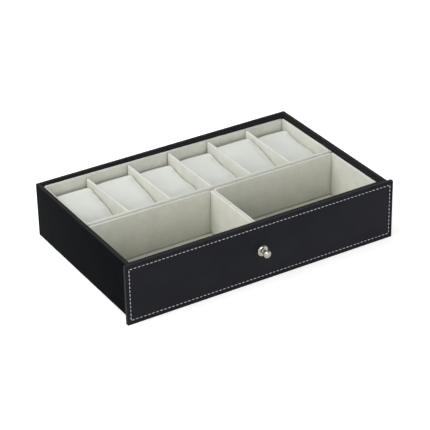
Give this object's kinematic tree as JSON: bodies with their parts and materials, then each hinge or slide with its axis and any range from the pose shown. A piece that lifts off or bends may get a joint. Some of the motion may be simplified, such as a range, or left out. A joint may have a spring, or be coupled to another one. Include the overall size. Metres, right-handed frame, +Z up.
{
  "type": "drawer with watch cushions",
  "caption": "Low pull-out drawer with an overhanging stitched front and knob, cushioned watch cells behind and open velvet compartments in front.",
  "frame": {"origin": "under the middle of the whole drawer, at the height of the front panel's lower edge", "axes": "+X to the drawer's right as seen from its front, +Y to its back, +Z up"},
  "size_m": [0.3084, 0.2048, 0.0649],
  "materials": {
    "leatherette": "smooth fine-grained black leatherette",
    "fibreboard": "raw medium-density fibreboard",
    "velvet_card": "short-pile pale grey velvet over card",
    "cushion_velvet": "short-pile pale grey velvet over foam",
    "greyboard": "plain grey board",
    "nickel": "polished nickel plate",
    "screw_steel": "zinc-plated steel",
    "cover_cloth": "thin black felt paper"
  },
  "bodies": {
    "drawer": {"back_wall_board": "fibreboard", "body_leatherette": "leatherette", "cell_divider_1": "velvet_card", "cell_divider_2": "velvet_card", "cell_divider_3": "velvet_card", "cell_divider_4": "velvet_card", "cell_divider_5": "velvet_card", "floor_board": "fibreboard", "front_panel_board": "fibreboard", "front_panel_leatherette": "leatherette", "front_wall_board": "fibreboard", "knob": "nickel", "knob_rosette": "nickel", "knob_screw": "screw_steel", "left_tray_back_card": "velvet_card", "left_tray_floor_card": "velvet_card", "left_tray_front_card": "velvet_card", "left_tray_left_card": "velvet_card", "left_tray_right_card": "velvet_card", "left_wall_board": "fibreboard", "right_tray_back_card": "velvet_card", "right_tray_floor_card": "velvet_card", "right_tray_front_card": "velvet_card", "right_tray_left_card": "velvet_card", "right_tray_right_card": "velvet_card", "right_wall_board": "fibreboard", "underside_cover": "cover_cloth", "watch_tray_back_card": "velvet_card", "watch_tray_floor_card": "velvet_card", "watch_tray_front_card": "velvet_card", "watch_tray_left_card": "velvet_card", "watch_tray_right_card": "velvet_card"},
    "cushion_1": {"watch_cushion_1": "cushion_velvet", "cushion_base_card_1": "greyboard"},
    "cushion_2": {"watch_cushion_2": "cushion_velvet", "cushion_base_card_2": "greyboard"},
    "cushion_3": {"watch_cushion_3": "cushion_velvet", "cushion_base_card_3": "greyboard"},
    "cushion_4": {"watch_cushion_4": "cushion_velvet", "cushion_base_card_4": "greyboard"},
    "cushion_5": {"watch_cushion_5": "cushion_velvet", "cushion_base_card_5": "greyboard"},
    "cushion_6": {"watch_cushion_6": "cushion_velvet", "cushion_base_card_6": "greyboard"}
  },
  "joints": [
    {"name": "cushion_1_lift", "type": "slide", "parent": "drawer", "child": "cushion_1", "axis": [0, 0, 1], "range_m": [0, 0.06]},
    {"name": "cushion_2_lift", "type": "slide", "parent": "drawer", "child": "cushion_2", "axis": [0, 0, 1], "range_m": [0, 0.06]},
    {"name": "cushion_3_lift", "type": "slide", "parent": "drawer", "child": "cushion_3", "axis": [0, 0, 1], "range_m": [0, 0.06]},
    {"name": "cushion_4_lift", "type": "slide", "parent": "drawer", "child": "cushion_4", "axis": [0, 0, 1], "range_m": [0, 0.06]},
    {"name": "cushion_5_lift", "type": "slide", "parent": "drawer", "child": "cushion_5", "axis": [0, 0, 1], "range_m": [0, 0.06]},
    {"name": "cushion_6_lift", "type": "slide", "parent": "drawer", "child": "cushion_6", "axis": [0, 0, 1], "range_m": [0, 0.06]}
  ]
}
